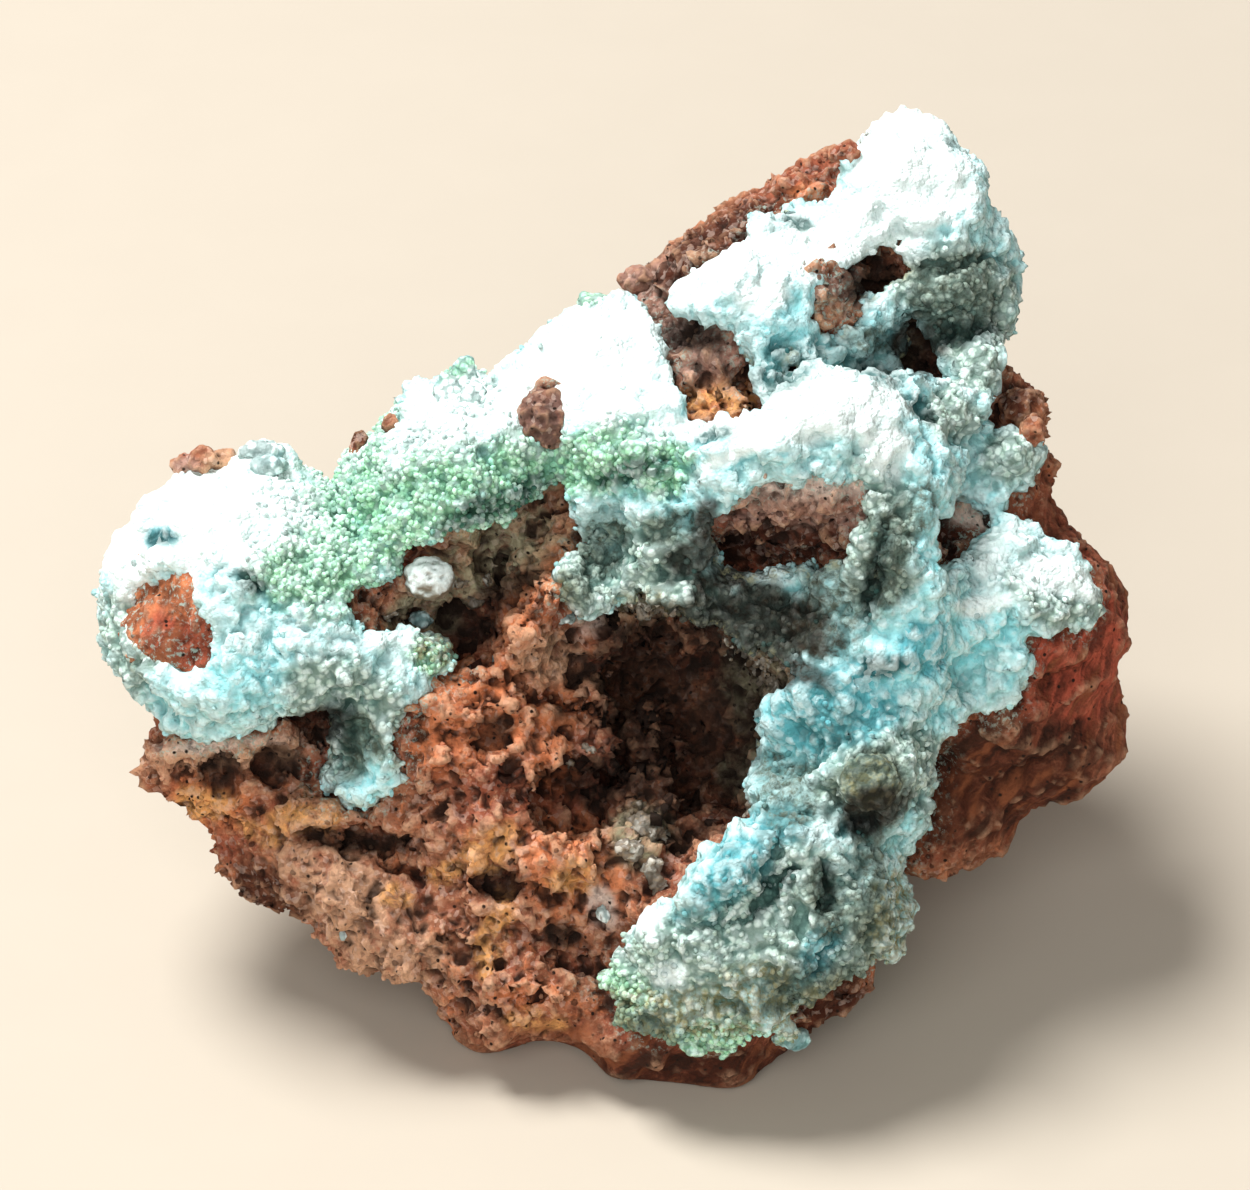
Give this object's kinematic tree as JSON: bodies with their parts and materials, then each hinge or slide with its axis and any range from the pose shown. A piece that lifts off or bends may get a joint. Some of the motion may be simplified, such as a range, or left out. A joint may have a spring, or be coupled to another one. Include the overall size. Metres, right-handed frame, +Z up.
{
  "type": "mineral hand specimen",
  "caption": "Loose lump of rusty porous gossan rock; a sky-blue to green fine copper crust covers its upper front, broken by brown patches and dark vugs; rests on a flat patch.",
  "frame": {"origin": "on the flat patch that the specimen rests on, below the middle of its front", "axes": "+Z up; -Y towards the viewer of the crusted display face; +X to that viewer's right, along the longest side"},
  "size_m": [0.0727, 0.054, 0.0524],
  "materials": {
    "gossan": "rough porous rusty brown rock",
    "crust": "matte sky-blue to green crust of fine grains",
    "nodule": "pale sugary grain"
  },
  "bodies": {
    "root": {"gossan_matrix": "gossan", "copper_crust": "crust", "pale_nodule": "nodule"}
  },
  "joints": []
}
